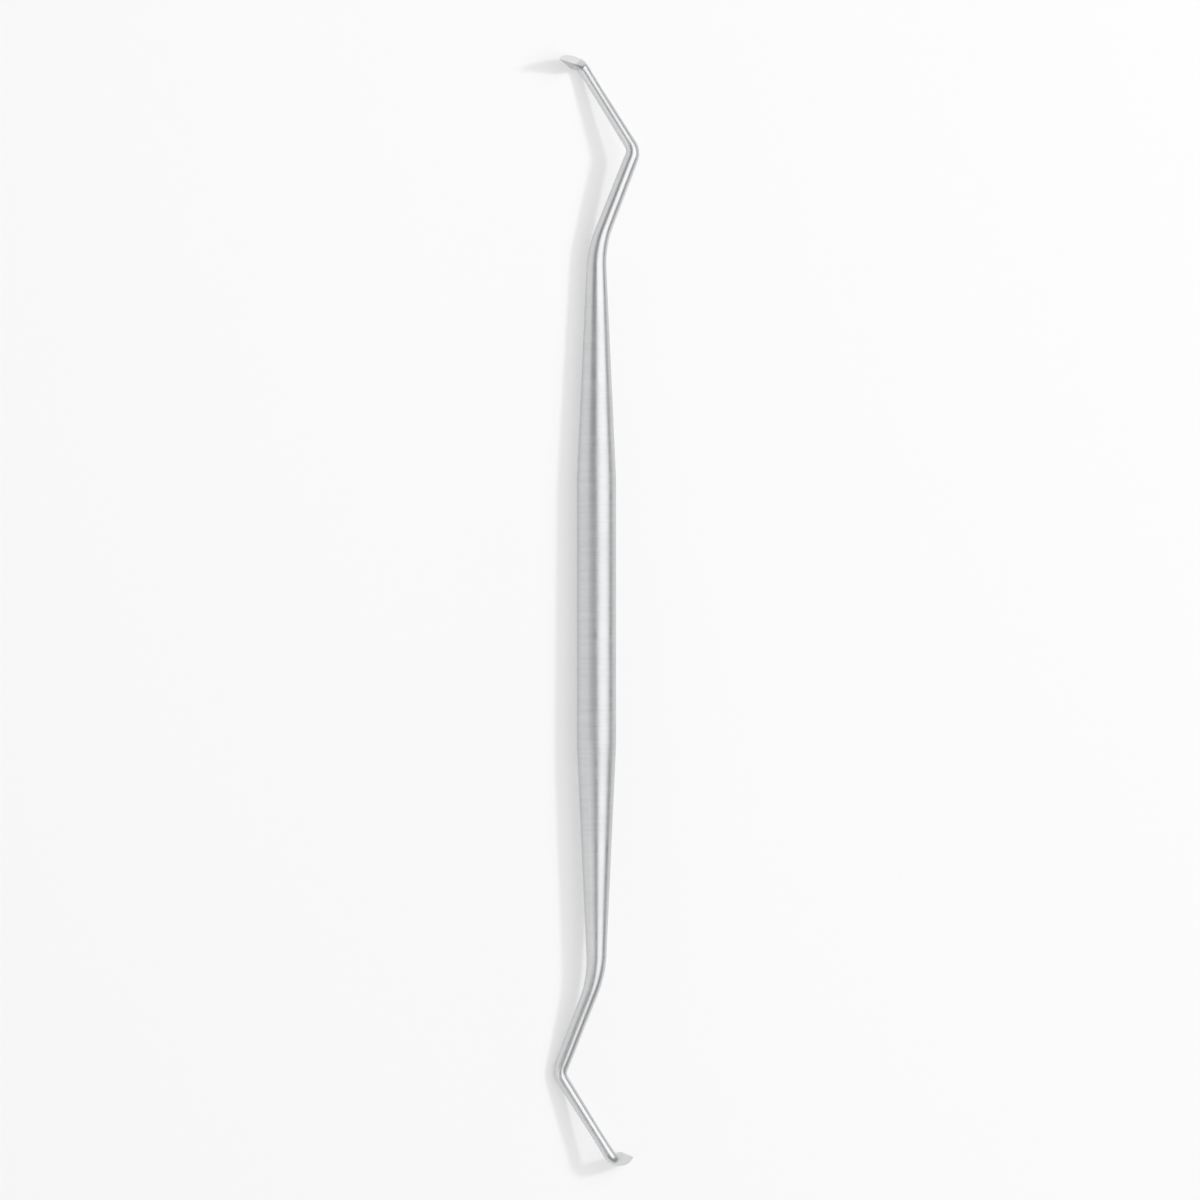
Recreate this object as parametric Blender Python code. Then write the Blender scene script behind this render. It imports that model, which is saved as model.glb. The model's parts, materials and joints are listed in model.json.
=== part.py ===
"""Double-ended dental scaler, turned, bent and ground from one piece of stainless steel.

The instrument is modelled upright in a frame of its own: the handle's axis along Y with the
middle of the handle at the origin, the bends of the shank in the XY plane, and the blade of
the +Y end pointing towards +Z. One half is worked out, and the other half is the same half
turned through the origin, which gives the paired, opposite-handed ends. The finished body then
lies on the ground as it would come to rest. Sizes are in metres and angles in degrees.
"""

import math

import bmesh
import bpy
from mathutils import Matrix, Vector

# Handle: a plain round bar with a long taper at each end
HANDLE_DIAMETER = 0.0060
HANDLE_LENGTH = 0.0404
TAPER_LENGTH = 0.0355

# Shank: two straight runs, measured between the corners of their bends
LOWER_SHANK_LENGTH = 0.0159
LOWER_SHANK_LEAN = 21.3
TERMINAL_SHANK_LENGTH = 0.0155
TERMINAL_SHANK_LEAN = 31.9
FIRST_BEND_RADIUS = 0.0174
ELBOW_RADIUS = 0.0023

# Thickness of the shank, across the instrument and from front to back
TAPER_END_WIDTH = 0.00307
LOWER_SHANK_START_WIDTH = 0.00239
LOWER_SHANK_END_WIDTH = 0.00221
TERMINAL_SHANK_START_WIDTH = 0.00187
WAIST_WIDTH = 0.00166
NECK_WIDTH = 0.00176
SHANK_DEPTH_RATIO = 1.18
WAIST_DEPTH_RATIO = 1.08
ROUND = 1.0
# The waist of the terminal shank, measured back from the start of the neck's bend
WAIST_TO_NECK = 0.0036

# Neck: the bend that turns the blade out of the shank, towards the front and a little left.
# The lead powers say how late the neck swells towards a corner of the blade.
NECK_BEND = 72.0
NECK_BEND_RADIUS = 0.00144
BLADE_TURN = 18.5
LEFT_EDGE_LEAD_POWER = 1.2
RIDGE_LEAD_POWER = 8.0

# Blade: how far its corners lie to the left of its axis, out from the neck's corner, and up
# towards its back
TIP_OUT = 0.0085
TIP_UP = -0.00071
LEFT_EDGE_LEFT = 0.00083
LEFT_EDGE_OUT = 0.00266
LEFT_EDGE_UP = -0.00096
RIGHT_EDGE_LEFT = -0.00038
RIGHT_EDGE_OUT = 0.0033
RIGHT_EDGE_UP = -0.00084
RIDGE_LEFT = -0.00052
RIDGE_OUT = 0.00032
RIDGE_UP = 0.00065
# Its ridge is highest at a point this far out and up, and the powers shape its fall to the tip
RIDGE_TOP_OUT = 0.00228
RIDGE_TOP_UP = 0.0009
RIDGE_FALL_POWER = 2.1
RIDGE_CENTRING_POWER = 1.8
# Its back bulges by the swell at the neck and is flat at the tip
BACK_SWELL = 0.00084
BACK_SWELL_POWER = 1.7

TIP = Vector((0.0, TIP_OUT, TIP_UP))
LEFT_EDGE_ROOT = Vector((LEFT_EDGE_LEFT, LEFT_EDGE_OUT, LEFT_EDGE_UP))
RIGHT_EDGE_ROOT = Vector((RIGHT_EDGE_LEFT, RIGHT_EDGE_OUT, RIGHT_EDGE_UP))
RIDGE_ROOT = Vector((RIDGE_LEFT, RIDGE_OUT, RIDGE_UP))

# Points round a section: over the back, across the face and up the right flank
BACK_STEPS = 24
FACE_STEPS = 8
FLANK_STEPS = 16
RING_POINTS = BACK_STEPS + FACE_STEPS + FLANK_STEPS

# Rings along each stretch, how far into the neck they go, and where they lie along the blade
TAPER_RINGS = 5
FIRST_BEND_RINGS = 7
SHANK_RINGS = 3
ELBOW_RINGS = 9
NECK_RINGS = 13
NECK_END = 0.90
BLADE_STATIONS = (0.0, 0.05, 0.12, 0.2, 0.3, 0.4, 0.5, 0.6, 0.7, 0.8, 0.88, 0.94)

# Edges with a larger angle than this between their faces stay crisp
SHARP_ANGLE = 24.0

STEEL_COLOUR = (0.78, 0.79, 0.80, 1.0)
STEEL_ROUGHNESS = 0.28


def mix(start, end, share):
    """The value or point that lies the given share of the way from start to end."""
    return start + (end - start) * share


def shares(count):
    """Even shares from just above 0 up to 1."""
    return [(step + 1) / count for step in range(count)]


class Centreline:
    """Straight runs and round bends, walked from the middle of the handle to the blade.

    A frame on the line has Y along it, X across the instrument and Z to its front.
    """

    def __init__(self):
        self.pieces = []
        self.length = 0.0
        self.end = Matrix.Identity(4)

    def add(self, length, step):
        """Adds a piece: step gives the frame a share of the way along it."""
        self.pieces.append((self.length, length, self.end, step))
        self.length += length
        self.end = self.end @ step(1.0)

    def straight(self, length):
        """Goes straight on for a length."""
        self.add(length, lambda share: Matrix.Translation((0.0, length * share, 0.0)))

    def bend(self, angle, radius, heading):
        """Turns the line by an angle towards a heading in the frame's XZ plane."""
        centre = Matrix.Translation(heading * radius)
        axis = Vector((0.0, 1.0, 0.0)).cross(heading)

        def step(share):
            return centre @ Matrix.Rotation(angle * share, 4, axis) @ centre.inverted()

        self.add(angle * radius, step)

    def at(self, distance):
        """The frame at a distance along the line."""
        for start, length, frame, step in reversed(self.pieces):
            if distance >= start:
                return frame @ step((distance - start) / length)
        raise ValueError("the distance lies before the line's start")


class Thickness:
    """Half sizes of the section, changing evenly between the stations where they are given."""

    def __init__(self):
        self.stations = []

    def add(self, distance, width, depth_ratio):
        """States the width and the ratio of depth to width at a distance along the line."""
        self.stations.append((distance, width / 2, width * depth_ratio / 2))

    def at(self, distance):
        """The half width and half depth at a distance along the line."""
        for (start, *thin), (end, *thick) in zip(self.stations, self.stations[1:]):
            if distance <= end:
                share = max(0.0, (distance - start) / (end - start))
                return [mix(one, other, share) for one, other in zip(thin, thick)]
        return self.stations[-1][1:]


class Half:
    """The +Y half of the instrument, from the end of the plain bar to the tip."""

    def __init__(self):
        first_bend = math.radians(LOWER_SHANK_LEAN)
        elbow = math.radians(LOWER_SHANK_LEAN + TERMINAL_SHANK_LEAN)
        neck_bend = math.radians(NECK_BEND)
        turn = math.radians(BLADE_TURN)
        # How far each bend reaches along the straight runs from its corner.
        first_reach = FIRST_BEND_RADIUS * math.tan(first_bend / 2)
        elbow_reach = ELBOW_RADIUS * math.tan(elbow / 2)
        neck_reach = NECK_BEND_RADIUS * math.tan(neck_bend / 2)
        right = Vector((1.0, 0.0, 0.0))
        blade_heading = Vector((-math.sin(turn), 0.0, math.cos(turn)))

        line = Centreline()
        thickness = Thickness()
        line.straight(HANDLE_LENGTH / 2)
        self.distances = [line.length]
        thickness.add(line.length, HANDLE_DIAMETER, ROUND)

        line.straight(TAPER_LENGTH - first_reach)
        self.rings_to(line.length, TAPER_RINGS)
        thickness.add(line.length, TAPER_END_WIDTH, ROUND)
        line.bend(first_bend, FIRST_BEND_RADIUS, right)
        self.rings_to(line.length, FIRST_BEND_RINGS)
        thickness.add(line.length, LOWER_SHANK_START_WIDTH, SHANK_DEPTH_RATIO)

        line.straight(LOWER_SHANK_LENGTH - first_reach - elbow_reach)
        self.rings_to(line.length, SHANK_RINGS)
        thickness.add(line.length, LOWER_SHANK_END_WIDTH, SHANK_DEPTH_RATIO)
        line.bend(elbow, ELBOW_RADIUS, -right)
        self.rings_to(line.length, ELBOW_RINGS)
        thickness.add(line.length, TERMINAL_SHANK_START_WIDTH, SHANK_DEPTH_RATIO)

        line.straight(TERMINAL_SHANK_LENGTH - elbow_reach - neck_reach)
        waist = line.length - WAIST_TO_NECK
        self.rings_to(waist, SHANK_RINGS)
        thickness.add(waist, WAIST_WIDTH, WAIST_DEPTH_RATIO)
        self.rings_to(line.length, SHANK_RINGS)
        thickness.add(line.length, NECK_WIDTH, ROUND)

        self.neck_start = line.length
        line.bend(neck_bend, NECK_BEND_RADIUS, blade_heading)
        self.neck_end = line.length
        self.neck_reach = neck_reach
        line.straight(TIP.y)
        self.line = line
        self.thickness = thickness
        # The blade's frame: X to its left, Y towards its tip, Z to its back.
        to_blade = Matrix.Rotation(math.pi - turn, 4, "Y")
        corner = line.at(self.neck_end) @ Matrix.Translation((0.0, -neck_reach, 0.0))
        self.blade_frame = corner @ to_blade
        # The ridge is the first point of every ring, and the points run on over the back.
        first = math.atan2(RIDGE_ROOT.x, RIDGE_ROOT.z)
        angles = [first + step * math.tau / RING_POINTS for step in range(RING_POINTS)]
        self.around = [to_blade.to_3x3() @ Vector((math.sin(a), 0.0, math.cos(a))) for a in angles]

    def rings_to(self, distance, count):
        """Places a number of rings evenly from the last one to this distance."""
        last = self.distances[-1]
        self.distances += [mix(last, distance, share) for share in shares(count)]

    def oval_point(self, distance, index):
        """The point of the oval shank with this index, at this distance."""
        half_width, half_depth = self.thickness.at(distance)
        around = self.around[index]
        offset = Vector((half_width * around.x, 0.0, half_depth * around.z))
        return self.line.at(distance) @ offset

    def shank_rings(self):
        """Round and oval rings from the end of the bar to the start of the neck."""
        return [[self.oval_point(d, i) for i in range(RING_POINTS)] for d in self.distances]

    def run_outs(self):
        """How far along the line each point of a ring meets the ground part of the blade.

        The three corners of the blade start at different places, and between two corners
        the distance changes evenly.
        """
        roots = (RIDGE_ROOT, LEFT_EDGE_ROOT, RIGHT_EDGE_ROOT)
        return self.between_corners(*[self.distance_of(root) for root in roots])

    def distance_of(self, point):
        """The distance along the line of the section through a point of the blade's frame."""
        past_bend = point.y - self.neck_reach
        if past_bend >= 0.0:
            return self.neck_end + past_bend
        return self.neck_end - NECK_BEND_RADIUS * math.atan2(-past_bend, NECK_BEND_RADIUS + point.z)

    def between_corners(self, ridge, left, right):
        """Values round a ring that change evenly between its three corners."""
        back = [mix(ridge, left, step / BACK_STEPS) for step in range(BACK_STEPS)]
        face = [mix(left, right, step / FACE_STEPS) for step in range(FACE_STEPS)]
        flank = [mix(right, ridge, step / FLANK_STEPS) for step in range(FLANK_STEPS)]
        return back + face + flank

    def neck_rings(self):
        """Rings through the neck's bend, each more slanted than the last, like the run-outs.

        The neck swells early towards the left cutting edge, which stands proud of it, and
        late, so with a crisp shoulder, towards the ridge and the right cutting edge.
        """
        ends = self.run_outs()
        root = self.blade_ring(0.0)
        powers = self.between_corners(RIDGE_LEAD_POWER, LEFT_EDGE_LEAD_POWER, RIDGE_LEAD_POWER)
        swells = [point - self.oval_point(end, i) for i, (point, end) in enumerate(zip(root, ends))]
        rings = []
        for share in shares(NECK_RINGS):
            way = share * NECK_END
            ring = [self.oval_point(mix(self.neck_start, end, way), i) for i, end in enumerate(ends)]
            rings.append([point + swell * way**power for point, swell, power in zip(ring, swells, powers)])
        return rings

    def ridge_point(self, share):
        """A point of the ridge: it rises over the neck to its top and falls to the tip.

        It starts on the neck's right side and soon runs over the middle of the blade.
        """
        point = mix(RIDGE_ROOT, TIP, share)
        point.x = mix(TIP.x, RIDGE_ROOT.x, (1.0 - share) ** RIDGE_CENTRING_POWER)
        if point.y < RIDGE_TOP_OUT:
            from_top = (RIDGE_TOP_OUT - point.y) / (RIDGE_TOP_OUT - RIDGE_ROOT.y)
            point.z = mix(RIDGE_TOP_UP, RIDGE_ROOT.z, from_top**2)
        else:
            from_top = (point.y - RIDGE_TOP_OUT) / (TIP.y - RIDGE_TOP_OUT)
            point.z = mix(RIDGE_TOP_UP, TIP.z, from_top**RIDGE_FALL_POWER)
        return point

    def blade_ring(self, share):
        """A three-cornered ring: flat face, flat right flank, and a back that starts round.

        The face lies between the two straight cutting edges, and the back flattens from the
        neck's roundness to a flat flank as it nears the tip.
        """
        ridge = self.ridge_point(share)
        left = mix(LEFT_EDGE_ROOT, TIP, share)
        right = mix(RIGHT_EDGE_ROOT, TIP, share)
        ring = self.between_corners(ridge, left, right)
        roundness = (1.0 - share) ** BACK_SWELL_POWER
        chord = left - ridge
        outward = Vector((-chord.z, 0.0, chord.x)).normalized()
        for step in range(1, BACK_STEPS):
            around = math.pi * step / BACK_STEPS
            along = mix(step / BACK_STEPS, (1.0 - math.cos(around)) / 2, roundness)
            swell = BACK_SWELL * roundness * math.sin(around)
            ring[step] = ridge + chord * along + outward * swell
        return [self.blade_frame @ point for point in ring]

    def rings(self):
        """All the rings of the half, from the end of the bar to just before the tip."""
        blade = [self.blade_ring(share) for share in BLADE_STATIONS]
        return self.shank_rings() + self.neck_rings() + blade

    def tip(self):
        """The tip, in the instrument's own frame."""
        return self.blade_frame @ TIP


def opposite(ring):
    """The ring turned through the origin, with its points in step with the first half's."""
    half_turn = RING_POINTS // 2
    return [-ring[(index + half_turn) % RING_POINTS] for index in range(RING_POINTS)]


def add_fan(mesh, ring, tip):
    """Closes the end of the body with triangles from its last ring to the tip."""
    for index, vert in enumerate(ring):
        mesh.faces.new((vert, ring[(index + 1) % RING_POINTS], tip))


def build_body():
    """One closed skin from tip to tip, as a mesh in the instrument's own frame."""
    half = Half()
    rings = half.rings()
    body = bmesh.new()
    skin = [[body.verts.new(point) for point in opposite(ring)] for ring in reversed(rings)]
    skin += [[body.verts.new(point) for point in ring] for ring in rings]
    for ring, following in zip(skin, skin[1:]):
        for index in range(RING_POINTS):
            after = (index + 1) % RING_POINTS
            body.faces.new((ring[index], ring[after], following[after], following[index]))
    add_fan(body, skin[0], body.verts.new(-half.tip()))
    add_fan(body, skin[-1], body.verts.new(half.tip()))
    bmesh.ops.recalc_face_normals(body, faces=body.faces)
    mesh = bpy.data.meshes.new("scaler")
    body.to_mesh(mesh)
    body.free()
    mesh.shade_smooth()
    mesh.set_sharp_from_angle(angle=math.radians(SHARP_ANGLE))
    return mesh


def under_middle(corners, normal):
    """Whether the line from the origin along a hull face's normal passes through that face."""
    foot = normal * corners[0].dot(normal)
    sides = zip(corners, corners[1:] + corners[:1])
    return all((end - start).cross(foot - start).dot(normal) >= 0.0 for start, end in sides)


def resting_place(mesh):
    """The transform that lays the instrument on the ground, front up.

    The middle of the handle is the centre of mass, so the body can rest on each face of its
    convex hull that lies squarely below the origin. Of these it takes the one most nearly at
    the back. The handle then points along Y, and the ground is at Z = 0.
    """
    hull = bmesh.new()
    hull.from_mesh(mesh)
    shell = bmesh.ops.convex_hull(hull, input=hull.verts)
    faces = [item for item in shell["geom"] if isinstance(item, bmesh.types.BMFace)]
    lies = []
    for face in faces:
        face.normal_update()
        corners = [vert.co.copy() for vert in face.verts]
        if face.normal.dot(corners[0]) < 0.0:
            corners.reverse()
            face.normal.negate()
        if under_middle(corners, face.normal):
            lies.append((face.normal.z, face.normal.copy(), corners[0].dot(face.normal)))
    hull.free()
    down, height = min(lies, key=lambda lie: lie[0])[1:]
    up = -down
    along = (Vector((0.0, 1.0, 0.0)) - up * up.y).normalized()
    turn = Matrix((along.cross(up), along, up)).to_4x4()
    return Matrix.Translation((0.0, 0.0, height)) @ turn


def steel():
    """Satin stainless steel."""
    material = bpy.data.materials.new("stainless_steel")
    material.use_nodes = True
    surface = material.node_tree.nodes["Principled BSDF"]
    surface.inputs["Base Color"].default_value = STEEL_COLOUR
    surface.inputs["Metallic"].default_value = 1.0
    surface.inputs["Roughness"].default_value = STEEL_ROUGHNESS
    return material


def main():
    """Clears the scene and leaves the scaler in it, lying on the ground."""
    for obj in list(bpy.data.objects):
        bpy.data.objects.remove(obj)
    mesh = build_body()
    mesh.materials.append(steel())
    scaler = bpy.data.objects.new("scaler", mesh)
    bpy.context.scene.collection.objects.link(scaler)
    scaler.matrix_world = resting_place(mesh)


main()
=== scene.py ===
"""The looks of a double-ended dental scaler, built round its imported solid.

The instrument is turned, bent and ground from one bar of stainless steel. Its skin is one
closed surface of two parameters: the distance along the centreline, from tip to tip, and the
place round the section. It is worked out upright in a frame of its own: the handle's axis
along Y with the middle of the handle at the origin, the bends of the shank in the XY plane,
and the blade of the +Y end pointing to the front, +Z. One half is worked out, and the other is
the same half with the sign of every coordinate changed, which mirrors it through the origin and
makes the two ends opposite-handed. The skin is then laid on the ground as the solid is. Sizes
are in metres and angles in degrees, unless a note says otherwise.
"""

from __future__ import annotations

import json
import logging
import math
from dataclasses import astuple, dataclass, field
from enum import Enum

import bpy
import numpy as np
from mathutils import Matrix, Vector

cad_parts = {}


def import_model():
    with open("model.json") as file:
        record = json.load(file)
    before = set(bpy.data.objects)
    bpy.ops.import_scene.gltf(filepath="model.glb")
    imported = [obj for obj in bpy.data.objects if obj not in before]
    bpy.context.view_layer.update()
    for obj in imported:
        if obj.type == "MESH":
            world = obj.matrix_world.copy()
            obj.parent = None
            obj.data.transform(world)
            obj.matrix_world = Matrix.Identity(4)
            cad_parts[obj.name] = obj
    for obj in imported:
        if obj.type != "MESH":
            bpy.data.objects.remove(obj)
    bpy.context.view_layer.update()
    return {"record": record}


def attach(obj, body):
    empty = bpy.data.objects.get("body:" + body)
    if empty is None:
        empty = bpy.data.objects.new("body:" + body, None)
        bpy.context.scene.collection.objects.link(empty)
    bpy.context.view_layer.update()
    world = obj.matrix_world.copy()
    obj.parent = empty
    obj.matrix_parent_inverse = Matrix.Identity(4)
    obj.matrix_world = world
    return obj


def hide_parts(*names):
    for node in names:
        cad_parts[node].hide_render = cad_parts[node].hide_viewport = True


LOG = logging.getLogger("scaler")
PIECE = "scaler_body"
NODE = "scaler"
BODY = "root"
HANDLE_MOUNT = "handle_grip"
FACE_MOUNT = "blade_face_upper"
MILLIMETRE = 0.001
VALUE = "NodeSocketFloat"
VECTOR = "NodeSocketVector"

Array = np.ndarray
Triple = tuple[float, float, float]

X_AXIS = np.array((1.0, 0.0, 0.0))
Y_AXIS = np.array((0.0, 1.0, 0.0))


def mix(start: Array | float, end: Array | float, share: Array | float) -> Array:
    """What lies the given share of the way from start to end."""
    return start + (end - start) * share


def turns(axis: Array, angle: Array) -> Array:
    """Rotation matrices about one axis.

    Formula: the cosine times the identity, plus the sine times the matrix of the cross
    product with the axis, plus one less the cosine times the axis by itself.

    Args:
        axis: the unit axis.
        angle: the angles in radians, in an array of any shape.

    Returns:
        An array of that shape with a 3 by 3 matrix for each angle.
    """
    x, y, z = axis
    cross = np.array(((0.0, -z, y), (z, 0.0, -x), (-y, x, 0.0)))
    cosine = np.cos(angle)[..., None, None]
    sine = np.sin(angle)[..., None, None]
    return cosine * np.eye(3) + sine * cross + (1.0 - cosine) * np.outer(axis, axis)


@dataclass(frozen=True)
class Stretch:
    """One straight run or one round bend of the centreline.

    A frame on the line has Y along it, X across the instrument and Z to its front. A straight
    run has an angle of zero.
    """

    start: float
    length: float
    origin: Array
    rotation: Array
    centre: Array
    axis: Array
    angle: float

    def place(self, distance: Array) -> tuple[Array, Array]:
        """Frames on this stretch.

        Formula: on a straight run the frame moves along its own Y. In a bend it turns about
        the bend's centre, by the bend's angle times the share of the length that is behind it.

        Args:
            distance: distances along the whole line.

        Returns:
            The frames' origins and their rotations.
        """
        ahead = distance - self.start
        if self.angle == 0.0:
            local = ahead[..., None] * Y_AXIS
            turn = np.broadcast_to(np.eye(3), ahead.shape + (3, 3))
        else:
            turn = turns(self.axis, self.angle * ahead / self.length)
            local = self.centre - turn @ self.centre
        return self.origin + local @ self.rotation.T, self.rotation @ turn


class Centreline:
    """Straight runs and round bends, walked from the middle of the handle to the tip."""

    def __init__(self) -> None:
        """Starts at the origin, along Y."""
        self.stretches: list[Stretch] = []
        self.length = 0.0
        self.origin = np.zeros(3)
        self.rotation = np.eye(3)

    def add(self, length: float, centre: Array, axis: Array, angle: float) -> None:
        """Adds a stretch and moves to its end.

        Args:
            length: its length along the line.
            centre: the middle of its bend, in the frame where it starts.
            axis: the axis of its bend, in that frame.
            angle: how far it bends, in radians, or zero.
        """
        stretch = Stretch(self.length, length, self.origin, self.rotation, centre, axis, angle)
        self.stretches.append(stretch)
        self.length += length
        origins, rotations = stretch.place(np.array([self.length]))
        self.origin, self.rotation = origins[0], rotations[0]

    def straight(self, length: float) -> None:
        """Goes straight on for a length."""
        self.add(length, np.zeros(3), np.zeros(3), 0.0)

    def bend(self, angle: float, radius: float, heading: Array) -> None:
        """Bends by an angle in radians, on a radius, towards a heading in the XZ plane."""
        axis = np.cross(Y_AXIS, heading)
        self.add(angle * radius, heading * radius, axis, angle)

    def place(self, distance: Array) -> tuple[Array, Array]:
        """The frames at distances along the line: their origins and rotations.

        Args:
            distance: an array of any shape.

        Returns:
            An array of that shape of points, and one of 3 by 3 matrices.
        """
        flat = distance.ravel()
        points = np.empty((flat.size, 3))
        rotations = np.empty((flat.size, 3, 3))
        for stretch in self.stretches:
            here = flat >= stretch.start
            points[here], rotations[here] = stretch.place(flat[here])
        return points.reshape(distance.shape + (3,)), rotations.reshape(distance.shape + (3, 3))


@dataclass(frozen=True)
class Around:
    """The second parameter of the skin: the columns round a section.

    The first column is the ridge of the blade. The columns run over the back to the left
    cutting edge, across the face to the right one, and up the right flank.
    """

    back: int = 60
    face: int = 21
    flank: int = 39

    @property
    def count(self) -> int:
        """How many columns there are."""
        return self.back + self.face + self.flank

    def weights(self) -> Array:
        """How much each column takes from the ridge, the left edge and the right edge.

        Formula: between two corners one weight falls evenly from 1 to 0 as the other rises.

        Returns:
            An array with a row of three weights for each column.
        """
        weights = np.zeros((self.count, 3))
        first = 0
        for corner, columns in enumerate((self.back, self.face, self.flank)):
            share = np.arange(columns) / columns
            weights[first:first + columns, corner] = 1.0 - share
            weights[first:first + columns, (corner + 1) % 3] = share
            first += columns
        return weights

    def between(self, ridge: Array, left: Array, right: Array) -> Array:
        """Values that change evenly round the section between its three corners.

        Args:
            ridge: the value at the ridge: a number, or one point for each ring.
            left: the value at the left cutting edge.
            right: the value at the right cutting edge.

        Returns:
            The values by columns, or the points by rings, columns and coordinates.
        """
        corners = np.stack(np.broadcast_arrays(ridge, left, right))
        if corners.ndim == 1:
            return self.weights() @ corners
        return np.einsum("ck,knd->ncd", self.weights(), corners)

    def near_corners(self, reach: float) -> Array:
        """One at a corner, falling to zero over the reach, a share of the way to the next corner."""
        nearest = self.weights().max(axis=1)
        return np.clip(1.0 - (1.0 - nearest) / reach, 0.0, 1.0)


@dataclass(frozen=True)
class Handle:
    """The plain round bar with its long taper towards the shank.

    The corner between the two is softened over a short length, as the mean of so many samples,
    and the rings of the skin are closer together within its reach.
    """

    diameter: float = 0.0060
    length: float = 0.0404
    taper_length: float = 0.0355
    taper_end_width: float = 0.00307
    shoulder_softness: float = 0.0008
    shoulder_samples: int = 9
    shoulder_reach: float = 0.0012


@dataclass(frozen=True)
class Shank:
    """The two straight runs between the taper and the neck, and the bends before them."""

    lower_length: float = 0.0159
    lower_lean: float = 21.3
    terminal_length: float = 0.0155
    terminal_lean: float = 31.9
    first_bend_radius: float = 0.0174
    elbow_radius: float = 0.0023
    lower_start_width: float = 0.00239
    lower_end_width: float = 0.00221
    terminal_start_width: float = 0.00187
    waist_width: float = 0.00166
    depth_ratio: float = 1.18
    waist_depth_ratio: float = 1.08
    waist_to_neck: float = 0.0036


@dataclass(frozen=True)
class Neck:
    """The bend that turns the blade out of the shank, to the front and a little left.

    The leads are the powers with which the blade's corners swell out of the neck, and the fade
    is the power with which the ridge's lead gives way over the back. The blend rounds off the
    back about the shoulder, over so many rings and passes.
    """

    width: float = 0.00176
    bend: float = 72.0
    bend_radius: float = 0.00144
    blade_turn: float = 18.5
    left_edge_lead: float = 1.2
    ridge_lead: float = 8.0
    back_lead_fade: float = 4.0
    back_blend_rings: float = 6.0
    back_blend_passes: int = 40


@dataclass(frozen=True)
class Blade:
    """The ground blade, as points to the left, out from the neck's corner and to the back."""

    tip: Triple = (0.0, 0.0085, -0.00071)
    left_root: Triple = (0.00083, 0.00266, -0.00096)
    right_root: Triple = (-0.00038, 0.0033, -0.00084)
    ridge_root: Triple = (-0.00052, 0.00032, 0.00065)
    ridge_top_out: float = 0.00228
    ridge_top_height: float = 0.0009
    ridge_fall_power: float = 2.1
    ridge_centring_power: float = 1.8
    back_swell: float = 0.00084
    back_swell_power: float = 1.7
    face_weights: Triple = (0.2, 0.4, 0.4)
    ridge_rounding: int = 3
    ridge_rounding_columns: float = 5.0
    ridge_rounding_start: float = 0.06
    ring_crowding: float = 0.6

    def ridge(self, share: Array) -> Array:
        """Points of the ridge.

        Formula: the way out grows evenly. The way left falls off from the neck's right side
        with a power of the share that is left. The height rises over the neck on a parabola
        to the top and falls from there to the tip with a power of the way from the top.

        Args:
            share: shares of the way to the tip.

        Returns:
            A point for each share, in the blade's frame.
        """
        root, tip = np.array(self.ridge_root), np.array(self.tip)
        left = mix(tip[0], root[0], (1.0 - share) ** self.ridge_centring_power)
        out = mix(root[1], tip[1], share)
        before = np.clip((self.ridge_top_out - out) / (self.ridge_top_out - root[1]), 0.0, 1.0)
        after = np.clip((out - self.ridge_top_out) / (tip[1] - self.ridge_top_out), 0.0, 1.0)
        rise = (root[2] - self.ridge_top_height) * before**2
        fall = (tip[2] - self.ridge_top_height) * after**self.ridge_fall_power
        return np.stack((left, out, self.ridge_top_height + rise + fall), axis=-1)

    def rings(self, share: Array, around: Around) -> Array:
        """Three-cornered rings of the ground blade.

        Formula: the face lies between two straight cutting edges and the right flank between
        the right edge and the ridge, so both are flat. The back lies on half an ellipse over
        the chord from ridge to left edge, which flattens into the chord towards the tip.

        Args:
            share: shares of the way to the tip.
            around: the columns of a ring.

        Returns:
            Rings by columns of points, in the blade's frame.
        """
        share = share[:, None]
        tip = np.array(self.tip)
        ridge = self.ridge(share[:, 0])
        left = mix(np.array(self.left_root), tip, share)
        right = mix(np.array(self.right_root), tip, share)
        rings = around.between(ridge, left, right)
        roundness = ((1.0 - share) ** self.back_swell_power)[..., None]
        chord = (left - ridge)[:, None, :]
        outward = np.stack((-chord[..., 2], np.zeros_like(chord[..., 0]), chord[..., 0]), axis=-1)
        outward /= np.linalg.norm(outward, axis=-1, keepdims=True)
        step = (np.arange(around.back) / around.back)[None, :, None]
        along = mix(step, (1.0 - np.cos(np.pi * step)) / 2.0, roundness)
        swell = self.back_swell * roundness * np.sin(np.pi * step)
        rings[:, :around.back] = ridge[:, None, :] + chord * along + outward * swell
        return self.soften_ridge(rings, share[..., None])

    def face_point(self) -> Array:
        """The point of the face that the record states: the mean of its corners, by weight."""
        return np.array(self.face_weights) @ np.array((self.tip, self.left_root, self.right_root))

    def soften_ridge(self, rings: Array, share: Array) -> Array:
        """Rounds the ridge a little, and leaves the cutting edges sharp.

        Formula: each pass moves a point to the mean of itself and the mean of its two
        neighbours, times a weight that falls with the square of its columns from the ridge.
        The rounding starts a little past the shoulder.

        Args:
            rings: rings by columns of points.
            share: how much of the way to the tip lies behind each ring.

        Returns:
            The rounded rings.
        """
        columns = rings.shape[1]
        away = np.minimum(np.arange(columns), columns - np.arange(columns))
        weight = np.exp(-((away / self.ridge_rounding_columns) ** 2))[None, :, None]
        weight = weight * np.clip(share / self.ridge_rounding_start, 0.0, 1.0)
        for _ in range(self.ridge_rounding):
            beside = (np.roll(rings, 1, axis=1) + np.roll(rings, -1, axis=1)) / 2.0
            rings = rings + weight * (beside - rings) / 2.0
        return rings


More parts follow.
